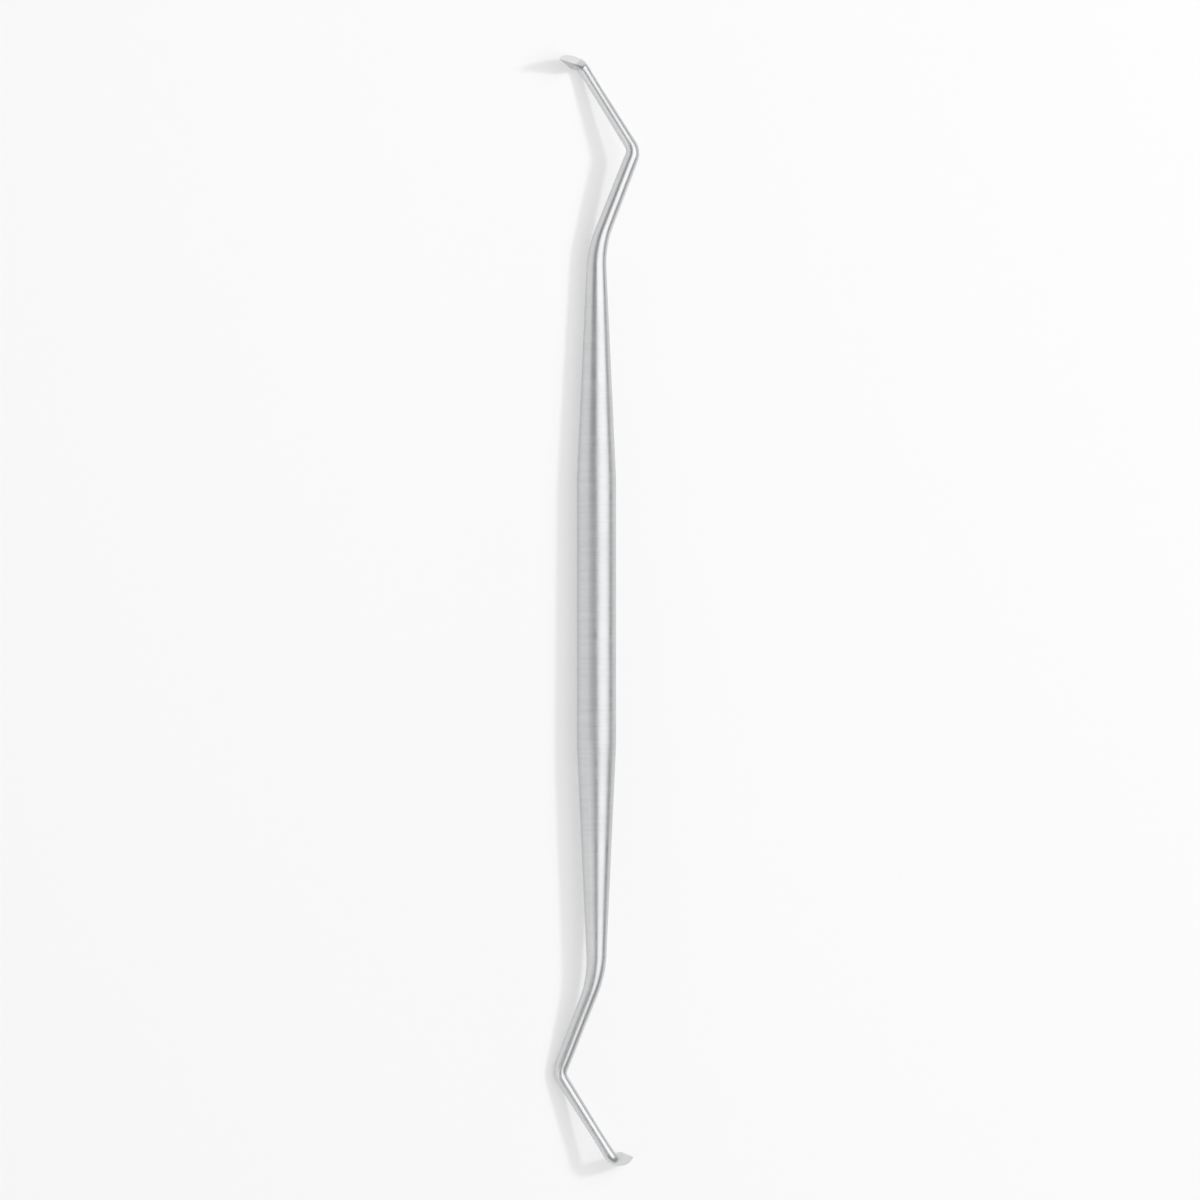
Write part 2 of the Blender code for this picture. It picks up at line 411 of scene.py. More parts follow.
@dataclass(frozen=True)
class Lie:
    """How the instrument lies on the ground.

    Attributes:
        middle: where the middle of the handle lies.
        rotation: the rotation from the instrument's own frame to the room's.
    """

    middle: Array
    rotation: Array

    @classmethod
    def from_mounts(cls, mounts: list[dict], face_point: Array) -> Lie:
        """Reads the lie from two mounts of the record.

        Formula: the handle's axis gives its pitch about the room's X axis. With the pitch
        taken off, the turn about the handle is the angle from the blade face's point in the
        instrument's own frame to the place that the record gives it, seen along the handle.

        Args:
            mounts: the record's mounts.
            face_point: the point of the upper blade's face, in the instrument's own frame.

        Returns:
            The lie.
        """
        stated = {mount["name"]: mount for mount in mounts}
        middle = np.array(stated[HANDLE_MOUNT]["pos_m"])
        along = stated[HANDLE_MOUNT]["axis"]
        pitch = turns(X_AXIS, np.array(math.atan2(along[2], along[1])))
        placed = (np.array(stated[FACE_MOUNT]["pos_m"]) - middle) @ pitch
        turn = math.atan2(placed[0], placed[2]) - math.atan2(face_point[0], face_point[2])
        return cls(middle, pitch @ turns(Y_AXIS, np.array(turn)))

    def lay(self, points: Array) -> Array:
        """Points of the instrument's own frame, laid on the ground."""
        return points @ self.rotation.T + self.middle


@dataclass(frozen=True)
class RingCounts:
    """How many rings each stretch of the skin has."""

    bar: int = 6
    shoulder: int = 16
    taper: int = 22
    first_bend: int = 24
    lower: int = 16
    elbow: int = 34
    terminal: int = 26
    neck: int = 48
    blade: int = 72


@dataclass(frozen=True)
class Skin:
    """Rings of points with what the finishes read from them.

    Attributes:
        points: rings by columns by coordinates.
        distance: how far along the line each point lies.
        blade: the points in the frame of their own blade.
        beyond: how many rings each ring lies beyond the shoulder of its blade.
    """

    points: Array
    distance: Array
    blade: Array
    beyond: Array


@dataclass
class Half:
    """The +Y half of the instrument, from the middle of the handle to the tip."""

    handle: Handle = field(default_factory=Handle)
    shank: Shank = field(default_factory=Shank)
    neck: Neck = field(default_factory=Neck)
    blade: Blade = field(default_factory=Blade)
    around: Around = field(default_factory=Around)
    counts: RingCounts = field(default_factory=RingCounts)

    def __post_init__(self) -> None:
        """Walks the centreline and notes where the thickness is given."""
        handle, shank, neck = self.handle, self.shank, self.neck
        first_bend = math.radians(shank.lower_lean)
        elbow = math.radians(shank.lower_lean + shank.terminal_lean)
        neck_bend = math.radians(neck.bend)
        turn = math.radians(neck.blade_turn)
        first_reach = shank.first_bend_radius * math.tan(first_bend / 2.0)
        elbow_reach = shank.elbow_radius * math.tan(elbow / 2.0)
        self.neck_reach = neck.bend_radius * math.tan(neck_bend / 2.0)

        self.line = Centreline()
        self.stations: list[Triple] = []
        self.line.straight(handle.length / 2.0)
        self.bar_end = self.note(handle.diameter, 1.0)
        self.line.straight(handle.taper_length - first_reach)
        self.taper_end = self.note(handle.taper_end_width, 1.0)
        self.line.bend(first_bend, shank.first_bend_radius, X_AXIS)
        self.lower_start = self.note(shank.lower_start_width, shank.depth_ratio)
        self.line.straight(shank.lower_length - first_reach - elbow_reach)
        self.lower_end = self.note(shank.lower_end_width, shank.depth_ratio)
        self.line.bend(elbow, shank.elbow_radius, -X_AXIS)
        self.terminal_start = self.note(shank.terminal_start_width, shank.depth_ratio)
        before_waist = shank.terminal_length - elbow_reach - self.neck_reach - shank.waist_to_neck
        self.line.straight(before_waist)
        self.note(shank.waist_width, shank.waist_depth_ratio)
        self.line.straight(shank.waist_to_neck)
        self.neck_start = self.note(neck.width, 1.0)
        heading = np.array((-math.sin(turn), 0.0, math.cos(turn)))
        self.line.bend(neck_bend, neck.bend_radius, heading)
        self.neck_end = self.line.length
        self.line.straight(self.blade.tip[1])

        # The blade's frame has X to its left, Y to its tip and Z to its back.
        back_turn = turns(Y_AXIS, np.array(math.pi - turn))
        origin, rotation = self.line.place(np.array(self.neck_end))
        self.blade_origin = origin - rotation @ np.array((0.0, self.neck_reach, 0.0))
        self.blade_rotation = rotation @ back_turn
        ridge_root = self.blade.ridge_root
        first = math.atan2(ridge_root[0], ridge_root[2])
        self.angles = first + 2.0 * math.pi * np.arange(self.around.count) / self.around.count
        round_blade = np.stack((np.sin(self.angles), 0.0 * self.angles, np.cos(self.angles)), axis=-1)
        self.directions = round_blade @ back_turn.T

    def note(self, width: float, depth_ratio: float) -> float:
        """Notes the thickness where the line now ends, and returns that distance."""
        self.stations.append((self.line.length, width / 2.0, width * depth_ratio / 2.0))
        return self.line.length

    def thickness(self, distance: Array) -> tuple[Array, Array]:
        """The thickness of the section.

        Formula: it changes evenly between the noted stations, and is then the mean over a
        short window, which softens the corner between bar and taper.

        Args:
            distance: distances along the line.

        Returns:
            Half the width and half the depth at each distance.
        """
        where, widths, depths = np.array(self.stations).T
        handle = self.handle
        window = handle.shoulder_softness * np.linspace(-1.0, 1.0, handle.shoulder_samples)
        spread = distance[..., None] + window
        return (np.interp(spread, where, widths).mean(axis=-1),
                np.interp(spread, where, depths).mean(axis=-1))

    def ovals(self, distance: Array) -> Array:
        """Points of the oval shank.

        Formula: the frame's origin, plus half the width times the sine and half the depth
        times the cosine of the column's angle, along the frame's X and Z.

        Args:
            distance: rings by columns of distances along the line.

        Returns:
            Rings by columns of points.
        """
        origins, rotations = self.line.place(distance)
        half_width, half_depth = self.thickness(distance)
        offset = np.zeros(distance.shape + (3,))
        offset[..., 0] = half_width * self.directions[:, 0]
        offset[..., 2] = half_depth * self.directions[:, 2]
        return origins + np.einsum("rcij,rcj->rci", rotations, offset)

    def to_half(self, points: Array) -> Array:
        """Points of the blade's frame, in the instrument's own frame."""
        return points @ self.blade_rotation.T + self.blade_origin

    def to_blade(self, points: Array) -> Array:
        """Points of the instrument's own frame, in the blade's frame."""
        return (points - self.blade_origin) @ self.blade_rotation

    def run_outs(self) -> Array:
        """How far along the line each column meets the ground part of the blade.

        Formula: the distance of the section through each of the three root corners, which
        changes evenly between them.

        Returns:
            A distance for each column.
        """
        corners = (self.blade.ridge_root, self.blade.left_root, self.blade.right_root)
        return self.around.between(*[self.distance_of(corner) for corner in corners])

    def distance_of(self, point: Triple) -> float:
        """The distance along the line of the section through a point.

        Formula: past the bend it grows with the way out. In the bend it is the radius times
        the angle of the point about the bend's centre.

        Args:
            point: a point of the blade's frame.

        Returns:
            The distance.
        """
        past_bend = point[1] - self.neck_reach
        if past_bend >= 0.0:
            return self.neck_end + past_bend
        radius = self.neck.bend_radius
        return self.neck_end - radius * math.atan2(-past_bend, radius + point[2])

    def shank_distances(self) -> Array:
        """Where the rings lie from the middle of the handle to the neck's start.

        Returns:
            Their distances along the line, even on each stretch.
        """
        reach = self.handle.shoulder_reach
        stops = (0.0, self.bar_end - reach, self.bar_end + reach, self.taper_end, self.lower_start,
                 self.lower_end, self.terminal_start, self.neck_start)
        # The counts of the neck and the blade come last, and no stop is left for them.
        runs = [np.linspace(start, end, count, endpoint=False)
                for start, end, count in zip(stops, stops[1:], astuple(self.counts))]
        return np.concatenate(runs)

    def neck_rings(self) -> tuple[Array, Array]:
        """Rings through the neck's bend, each more slanted than the last.

        Formula: each column goes evenly from the neck's start to its own run-out, on the oval
        shank, and swells by the step to the blade's root times the way to a power. The power
        is low at the left cutting edge, for a soft swell, and high at the ridge and the right
        edge, for a crisp shoulder, which soon fades over the back.

        Returns:
            The rings' points and their distances along the line.
        """
        ends = self.run_outs()
        way = np.arange(self.counts.neck)[:, None] / self.counts.neck
        distance = mix(self.neck_start, ends[None, :], way)
        root = self.to_half(self.blade.rings(np.zeros(1), self.around))
        swell = root - self.ovals(ends[None, :])
        neck = self.neck
        power = self.around.between(neck.ridge_lead, neck.left_edge_lead, neck.ridge_lead)
        back = self.around.back
        crisp = (1.0 - np.arange(back) / back) ** neck.back_lead_fade
        power[:back] = mix(neck.left_edge_lead, neck.ridge_lead, crisp)
        points = self.ovals(distance) + swell * (way**power[None, :])[..., None]
        return points, distance

    def blend_back(self, points: Array, shoulder: int) -> Array:
        """Rounds off where the neck's back runs into the blade's back.

        Formula: each pass moves a point to the mean of itself and the mean of its neighbours
        on the rings before and behind, times a weight. The weight is a bell over the rings
        about the shoulder, times the root of a half sine over the columns of the back, which
        is zero at the ridge and at the left cutting edge.

        Args:
            points: rings by columns of points.
            shoulder: the ring where the ground part of the blade starts.

        Returns:
            The rounded points.
        """
        neck, back = self.neck, self.around.back
        rings = np.exp(-(((np.arange(len(points)) - shoulder) / neck.back_blend_rings) ** 2))
        columns = np.zeros(self.around.count)
        columns[:back] = np.sqrt(np.sin(np.pi * np.arange(back) / back))
        weight = (rings[:, None] * columns)[1:-1, :, None]
        for _ in range(neck.back_blend_passes):
            beside = (points[2:] + points[:-2]) / 2.0
            points[1:-1] += weight * (beside - points[1:-1]) / 2.0
        return points

    def skin(self) -> Skin:
        """All the rings of this half.

        Returns:
            The rings, with what the finishes read from them.
        """
        columns = self.around.count
        plain = np.repeat(self.shank_distances()[:, None], columns, axis=1)
        neck, neck_distance = self.neck_rings()
        # The rings crowd towards the shoulder and the tip.
        step = np.arange(self.counts.blade) / self.counts.blade
        share = mix(step, (1.0 - np.cos(np.pi * step)) / 2.0, self.blade.ring_crowding)
        ground = self.to_half(self.blade.rings(share, self.around))
        ends = self.run_outs()[None, :]
        blade_distance = mix(ends, self.line.length, share[:, None])
        shoulder = len(plain) + len(neck)
        points = self.blend_back(np.concatenate((self.ovals(plain), neck, ground)), shoulder)
        distance = np.concatenate((plain, neck_distance, blade_distance))
        return Skin(points, distance, self.to_blade(points), np.arange(len(points)) - shoulder)


class Ground(Enum):
    """The finishes of the instrument's faces, by their place in the piece's material list."""

    SATIN = 0
    FLANK = 1
    FACE = 2


class Nodes:
    """Adds and joins the nodes of one material or one node group."""

    def __init__(self, tree: bpy.types.NodeTree) -> None:
        """Takes the tree to work on."""
        self.tree = tree

    def feed(self, socket: bpy.types.NodeSocket, source: object) -> None:
        """Joins an output to a socket, or sets the socket to a value.

        Args:
            socket: the socket to feed.
            source: the output or the value.
        """
        if isinstance(source, bpy.types.NodeSocket):
            self.tree.links.new(source, socket)
        else:
            socket.default_value = source

    def add(self, kind: str, sources: dict | None = None, **settings: object) -> bpy.types.Node:
        """Adds a node.

        Args:
            kind: what kind of node it is.
            sources: what feeds its inputs, by their names or places.
            settings: its other settings.

        Returns:
            The node.
        """
        node = self.tree.nodes.new(kind)
        for name, value in settings.items():
            setattr(node, name, value)
        for key, source in (sources or {}).items():
            self.feed(node.inputs[key], source)
        return node

    def math(self, operation: str, *sources: object) -> bpy.types.NodeSocket:
        """The result of a sum on outputs or numbers."""
        return self.add("ShaderNodeMath", dict(enumerate(sources)), operation=operation).outputs[0]

    def vector(self, operation: str, *sources: object) -> bpy.types.NodeSocket:
        """The result of a sum on vectors."""
        node = self.add("ShaderNodeVectorMath", dict(enumerate(sources)), operation=operation)
        return node.outputs[0]

    def scaled(self, vector: object, value: object) -> bpy.types.NodeSocket:
        """A vector or a colour times a value."""
        node = self.add("ShaderNodeVectorMath", {0: vector, "Scale": value}, operation="SCALE")
        return node.outputs[0]

    def plus(self, base: object, value: object, weight: float) -> bpy.types.NodeSocket:
        """A base plus a value times a weight."""
        return self.math("ADD", base, self.math("MULTIPLY", value, weight))

    def remap(self, value: object, low: float, high: float, to_low: object = 0.0,
              to_high: object = 1.0) -> bpy.types.NodeSocket:
        """A value moved from one range to another, held inside it."""
        return self.add("ShaderNodeMapRange", {
            "Value": value, "From Min": low, "From Max": high, "To Min": to_low, "To Max": to_high,
        }).outputs["Result"]

    def numbers(self, share: object, first: object, second: object) -> bpy.types.NodeSocket:
        """A number the given share of the way from one to another."""
        sources = {0: share, 2: first, 3: second}
        return self.add("ShaderNodeMix", sources, data_type="FLOAT").outputs[0]

    def colours(self, share: object, first: object, second: object) -> bpy.types.NodeSocket:
        """A colour the given share of the way from one to another."""
        sources = {0: share, 6: first, 7: second}
        return self.add("ShaderNodeMix", sources, data_type="RGBA").outputs[2]

    def noise(self, vector: object, scale: float, detail: float,
              roughness: float) -> bpy.types.NodeSocket:
        """Noise over a vector, with its scale, detail and roughness."""
        return self.add("ShaderNodeTexNoise", {
            "Vector": vector, "Scale": scale, "Detail": detail, "Roughness": roughness,
        }).outputs["Fac"]

    def group(self, group: bpy.types.NodeTree, **sources: object) -> bpy.types.Node:
        """Places a node group, with what feeds its inputs."""
        return self.add("ShaderNodeGroup", sources, node_tree=group)

    def bumped(self, height: object, depth: float) -> bpy.types.NodeSocket:
        """The surface's normal under a height that is so many metres deep."""
        return self.add("ShaderNodeBump", {"Distance": depth, "Height": height}).outputs["Normal"]

    def object_place(self) -> bpy.types.NodeSocket:
        """The place on the piece, in metres."""
        return self.add("ShaderNodeTexCoord").outputs["Object"]

    def seen_ray(self) -> bpy.types.NodeSocket:
        """Tells the rays that see the background from those that light.

        Returns:
            One for rays from the camera, from gloss or through glass, and zero for the rest.
        """
        rays = self.add("ShaderNodeLightPath").outputs
        seen = self.math("MAXIMUM", rays["Is Camera Ray"], rays["Is Glossy Ray"])
        return self.math("MAXIMUM", seen, rays["Is Transmission Ray"])

    def attribute(self, name: str, output: str) -> bpy.types.NodeSocket:
        """An attribute of the piece's own mesh."""
        return self.add("ShaderNodeAttribute", attribute_name=name).outputs[output]


def new_group(name: str, inputs: dict[str, str], outputs: dict[str, str],
              ) -> tuple[bpy.types.NodeTree, Nodes, bpy.types.Node, bpy.types.Node]:
    """Starts a shader node group.

    Args:
        name: its name.
        inputs: the socket types of its inputs, by name.
        outputs: the socket types of its outputs, by name.

    Returns:
        The group, its builder, and its input and output nodes.
    """
    group = bpy.data.node_groups.new(name, "ShaderNodeTree")
    for label, kind in inputs.items():
        group.interface.new_socket(label, in_out="INPUT", socket_type=kind)
    for label, kind in outputs.items():
        group.interface.new_socket(label, in_out="OUTPUT", socket_type=kind)
    nodes = Nodes(group)
    return group, nodes, nodes.add("NodeGroupInput"), nodes.add("NodeGroupOutput")


@dataclass(frozen=True)
class GrainGroup:
    """Fine lines left by an abrasive, long one way and close together the other.

    Each noise is given by its scale, detail and roughness.
    """

    name: str = "abrasive_grain"
    line_noise: Triple = (1.0, 2.0, 0.6)
    band_noise: Triple = (1.0, 2.0, 0.5)
    band_scale: float = 0.21
    line_range: tuple[float, float] = (0.28, 0.72)
    band_range: tuple[float, float] = (0.30, 0.70)

    def build(self) -> bpy.types.NodeTree:
        """The group: it takes a place, and how fast the lines change each way.

        Formula: the place is stretched by a vector, and fine noise over it, with broader
        noise beneath, gives the lines.

        Returns:
            The group, with the outputs Lines and Bands, both about one half on the mean.
        """
        group, nodes, given, gives = new_group(
            self.name, {"Place": VECTOR, "Stretch": VECTOR}, {"Lines": VALUE, "Bands": VALUE})
        place = nodes.vector("MULTIPLY", given.outputs["Place"], given.outputs["Stretch"])
        lines = nodes.noise(place, *self.line_noise)
        bands = nodes.noise(nodes.scaled(place, self.band_scale), *self.band_noise)
        nodes.feed(gives.inputs["Lines"], nodes.remap(lines, *self.line_range))
        nodes.feed(gives.inputs["Bands"], nodes.remap(bands, *self.band_range))
        return group


@dataclass(frozen=True)
class HandlingGroup:
    """What use and cleaning leave: faint clouding and a few hairline scratches.

    Each noise is given by its scale, detail and roughness. The scratches are of two families:
    each slant is the turn of one, in radians, and its offset, and the tilt turns both.
    """

    name: str = "handling_marks"
    cloud_noise: Triple = (150.0, 3.0, 0.55)
    cloud_range: tuple[float, float] = (0.30, 0.70)
    scratch_noise: Triple = (1.0, 0.0, 0.0)
    slants: tuple[tuple[float, float], ...] = ((0.35, 0.0), (-0.6, 3.7))
    tilt: float = 0.2
    stretch: Triple = (1100.0, 14.0, 1100.0)
    scratch_width: float = 0.009
    patch_noise: Triple = (260.0, 1.0, 0.5)
    patch_range: tuple[float, float] = (0.60, 0.68)

    def build(self) -> bpy.types.NodeTree:
        """The group: it takes a place in metres.

        Formula: clouding is soft noise some millimetres across. A scratch lies where noise
        that is stretched along a slanted line crosses its middle value, and a second, broad
        noise leaves only some of them.

        Returns:
            The group, with the outputs Cloud and Scratch.
        """
        group, nodes, given, gives = new_group(
            self.name, {"Place": VECTOR}, {"Cloud": VALUE, "Scratch": VALUE})
        place = given.outputs["Place"]
        cloud = nodes.noise(place, *self.cloud_noise)
        nodes.feed(gives.inputs["Cloud"], nodes.remap(cloud, *self.cloud_range))
        masks = []
        for turn, offset in self.slants:
            mapping = nodes.add("ShaderNodeMapping", {
                "Vector": place, "Location": (offset, offset, 0.0),
                "Rotation": (self.tilt, turn, turn), "Scale": self.stretch,
            })
            lines = nodes.noise(mapping.outputs["Vector"], *self.scratch_noise)
            off_middle = nodes.math("ABSOLUTE", nodes.math("SUBTRACT", lines, 0.5))
            masks.append(nodes.remap(off_middle, 0.0, self.scratch_width, 1.0, 0.0))
        some = nodes.remap(nodes.noise(place, *self.patch_noise), *self.patch_range)
        scratch = nodes.math("MULTIPLY", nodes.math("MAXIMUM", *masks), some)
        nodes.feed(gives.inputs["Scratch"], scratch)
        return group


@dataclass(frozen=True)
class SatinSteel:
    """Stainless steel, blasted satin on the handle and finer towards the blades.

    On the handle the brush went round, as the bar turned, and on the shank along it.
    """

    name: str = "satin_steel"
    handle_colour: Triple = (0.65, 0.657, 0.662)
    shank_colour: Triple = (0.69, 0.696, 0.70)
    handle_roughness: float = 0.34
    shank_roughness: float = 0.27
    round_stretch: Triple = (1.6, 1.6, 9.0)
    along_stretch: Triple = (26.0, 26.0, 0.5)
    depth: float = 4.5e-6
    line_tone: float = 0.07
    band_tone: float = 0.045
    cloud_tone: float = 0.02
    band_roughness: float = 0.05
    cloud_roughness: float = 0.05
    scratch_roughness: float = 0.06
    scratch_height: float = 0.35

    def build(self, grain: bpy.types.NodeTree, handling: bpy.types.NodeTree) -> bpy.types.Material:
        """The material.

        Args:
            grain: the group of abrasive lines.
            handling: the group of handling marks.

        Returns:
            The material.
        """
        material, nodes, surface = new_metal(self.name)
        turned = nodes.attribute("turned", "Vector")
        polish = nodes.attribute("polish", "Fac")
        round_grain = nodes.group(grain, Place=turned, Stretch=self.round_stretch).outputs
        along_grain = nodes.group(grain, Place=turned, Stretch=self.along_stretch).outputs
        marks = nodes.group(handling, Place=nodes.object_place()).outputs
        lines = nodes.numbers(polish, round_grain["Lines"], along_grain["Lines"])
        bands = nodes.numbers(polish, round_grain["Bands"], along_grain["Bands"])

        steel = nodes.colours(polish, self.handle_colour + (1.0,), self.shank_colour + (1.0,))
        tone = nodes.math("ADD", nodes.remap(lines, 0.0, 1.0, 1.0 - self.line_tone, 1.0),
                          nodes.remap(bands, 0.0, 1.0, -self.band_tone, self.band_tone))
        tone = nodes.plus(tone, marks["Cloud"], -self.cloud_tone)
        nodes.feed(surface["Base Color"], nodes.scaled(steel, tone))

        rough = nodes.numbers(polish, self.handle_roughness, self.shank_roughness)
        rough = nodes.math("ADD", rough, nodes.remap(bands, 0.0, 1.0, -self.band_roughness,
                                                     self.band_roughness))
        rough = nodes.plus(rough, marks["Cloud"], self.cloud_roughness)
        rough = nodes.plus(rough, marks["Scratch"], -self.scratch_roughness)
        nodes.feed(surface["Roughness"], rough)

        height = nodes.plus(lines, marks["Scratch"], -self.scratch_height)
        nodes.feed(surface["Normal"], nodes.bumped(height, self.depth))
        return material


@dataclass(frozen=True)
class GroundSteel:
    """A bright facet of a blade, ground on a stone that leaves fine lines one way.

    The stretch says how close together the lines are to the left, out along the blade and to
    the back, and the slant turns them, in radians. The colour is painted per facet: the flank
    gets a lighter copy of the steel as painted light, and the face a darker one as painted shade.
    """

    name: str
    colour: Triple
    # The edge colour is a painted highlight: a lighter colour along the blade's ridge and cutting
    # edges.
    edge_highlight_colour: Triple
    roughness: float
    stretch: Triple
    slant: float
    depth: float = 2.0e-6
    line_tone: float = 0.05
    band_tone: float = 0.02
    line_roughness: tuple[float, float] = (-0.04, 0.05)
    cloud_roughness: float = 0.03

    def build(self, grain: bpy.types.NodeTree, handling: bpy.types.NodeTree) -> bpy.types.Material:
        """The material.

        Args:
            grain: the group of abrasive lines.
            handling: the group of handling marks.

        Returns:
            The material.
        """
        material, nodes, surface = new_metal(self.name)
        mapping = nodes.add("ShaderNodeMapping", {
            "Vector": nodes.attribute("blade", "Vector"), "Rotation": (self.slant, 0.0, self.slant),
        })
        ground = nodes.group(grain, Place=mapping.outputs["Vector"], Stretch=self.stretch).outputs
        marks = nodes.group(handling, Place=nodes.object_place()).outputs
        # The edge mask mixes in the painted highlight near the blade's corners.
        edge = nodes.attribute("edge", "Fac")
        steel = nodes.colours(edge, self.colour + (1.0,), self.edge_highlight_colour + (1.0,))
        tone = nodes.math("ADD", nodes.remap(ground["Lines"], 0.0, 1.0, 1.0 - self.line_tone, 1.0),
                          nodes.remap(ground["Bands"], 0.0, 1.0, -self.band_tone, self.band_tone))
        nodes.feed(surface["Base Color"], nodes.scaled(steel, tone))
        low, high = self.line_roughness
        rough = nodes.remap(ground["Lines"], 0.0, 1.0, self.roughness + low, self.roughness + high)
        nodes.feed(surface["Roughness"], nodes.plus(rough, marks["Cloud"], self.cloud_roughness))
        nodes.feed(surface["Normal"], nodes.bumped(ground["Lines"], self.depth))
        return material


def new_metal(name: str) -> tuple[bpy.types.Material, Nodes, bpy.types.bpy_prop_collection]:
    """Starts a metal.

    Args:
        name: its name.

    Returns:
        The material, its builder and its shader's inputs.
    """
    material = bpy.data.materials.new(name)
    material.use_nodes = True
    surface = material.node_tree.nodes["Principled BSDF"].inputs
    surface["Metallic"].default_value = 1.0
    return material, Nodes(material.node_tree), surface


@dataclass
class Scaler:
    """The whole instrument: one closed skin from tip to tip, and its finishes."""

    half: Half
    lie: Lie
    satin: SatinSteel = field(default_factory=SatinSteel)
    # The flank and the face are one ground steel: the flank's lighter colour is painted light and the
    # face's darker colour is painted shade.
    flank: GroundSteel = GroundSteel(
        "flank_steel", (0.77, 0.775, 0.78), (0.88, 0.88, 0.88), 0.18, (24.0, 1.2, 24.0), 0.10)
    face: GroundSteel = GroundSteel(
        "face_steel", (0.56, 0.565, 0.57), (0.88, 0.88, 0.88), 0.22, (2.0, 20.0, 2.0), 0.35)
    # How far the painted highlight on the blade's corners reaches, as a share of the way to the next
    # corner.
    edge_reach: float = 0.10

    def whole(self, rings: Array, sign: float) -> Array:
        """The rings from tip to tip. The other half's run backwards, half a turn on, times a sign."""
        other = np.roll(rings[:0:-1], self.half.around.count // 2, axis=1)
        return np.concatenate((sign * other, rings))

    def build(self) -> bpy.types.Object:
        """Makes the piece.

        Formula: the other half's points are this half's times minus one, which mirrors them
        through the origin. Four neighbouring points make a face, and a fan closes each tip.

        Returns:
            The piece, with the attributes that its finishes read.
        """
        skin = self.half.skin()
        distance = self.whole(skin.distance, -1.0)
        beyond = np.concatenate((skin.beyond[:0:-1], skin.beyond))
        tip = self.half.to_half(np.array(self.half.blade.tip))
        rings = self.whole(skin.points, -1.0).reshape(-1, 3)
        points = self.lie.lay(np.concatenate((rings, -tip[None], tip[None])))
        faces, fans, facets = self.faces(beyond)
        mesh = bpy.data.meshes.new(PIECE)
        mesh.from_pydata(points.tolist(), [], faces.tolist() + fans.tolist())
        mesh.polygons.foreach_set("material_index", facets)
        mesh.shade_smooth()
        self.mark_crisp_edges(mesh, beyond)
        self.write_attributes(mesh, distance, self.whole(skin.blade, 1.0), beyond)
        mesh.update()
        piece = bpy.data.objects.new(PIECE, mesh)
        bpy.context.scene.collection.objects.link(piece)
        return piece

    def own_columns(self, rings: int) -> Array:
        """The column that each point of the skin has in its own half.

        Formula: it is the same in the +Y half, and half a turn on in the other.

        Args:
            rings: how many rings the skin has.

        Returns:
            The columns, by rings and columns.
        """
        columns = self.half.around.count
        front = np.arange(rings)[:, None] >= rings // 2
        return (np.arange(columns) + np.where(front, 0, columns // 2)) % columns

    def faces(self, beyond: Array) -> tuple[Array, Array, Array]:
        """The faces of the skin and their finishes.

        Args:
            beyond: how many rings each ring lies beyond its shoulder.

        Returns:
            The four-cornered faces, the three-cornered ones at the tips, and for each face
            the index of its finish.
        """
        around = self.half.around
        rings, columns = len(beyond), around.count
        index = np.arange(rings * columns).reshape(rings, columns)
        after = np.roll(index, -1, axis=1)
        quads = np.stack((index[:-1], after[:-1], after[1:], index[1:]), axis=-1)
        low_tip = np.full(columns, rings * columns)
        low = np.stack((index[0], low_tip, after[0]), axis=-1)
        high = np.stack((index[-1], after[-1], low_tip + 1), axis=-1)
        facet = np.full(columns, Ground.SATIN.value)
        facet[around.back:around.back + around.face] = Ground.FACE.value
        facet[around.back + around.face:] = Ground.FLANK.value
        facet = facet[self.own_columns(rings)]
        ground = facet[:-1] * (np.maximum(beyond[:-1], beyond[1:]) > 0)[:, None]
        finish = np.concatenate((ground.ravel(), facet[0], facet[-1])).astype(np.int32)
        return quads.reshape(-1, 4), np.concatenate((low, high)), finish

    def mark_crisp_edges(self, mesh: bpy.types.Mesh, beyond: Array) -> None:
        """Marks the edges that grinding leaves crisp.

        Formula: an edge is crisp where it runs along a cutting edge beyond the shoulder, or
        along the shoulder itself across the face and the flank. A tip lies on every column,
        so its own column is written as minus one.

        Args:
            mesh: the mesh to mark.
            beyond: how many rings each ring lies beyond its shoulder.
        """
        around = self.half.around
        tips = np.full(2, -1)
        column = np.concatenate((self.own_columns(len(beyond)).ravel(), tips))
        ring = np.concatenate((np.repeat(beyond, around.count), np.full(2, beyond.max() + 1)))
        ends = np.empty(2 * len(mesh.edges), dtype=np.int32)
        mesh.edges.foreach_get("vertices", ends)
        columns, rings = column[ends.reshape(-1, 2)], ring[ends.reshape(-1, 2)]
        low, high = columns.min(axis=1), columns.max(axis=1)
        lengthwise = (low == high) | (low < 0)
        cutting = lengthwise & np.isin(high, (around.back, around.back + around.face))
        cutting &= rings.min(axis=1) >= 0
        flat = (columns >= around.back) | (columns == 0)
        shoulder = (rings == 0).all(axis=1) & flat.all(axis=1)
        mesh.edges.foreach_set("use_edge_sharp", cutting | shoulder)

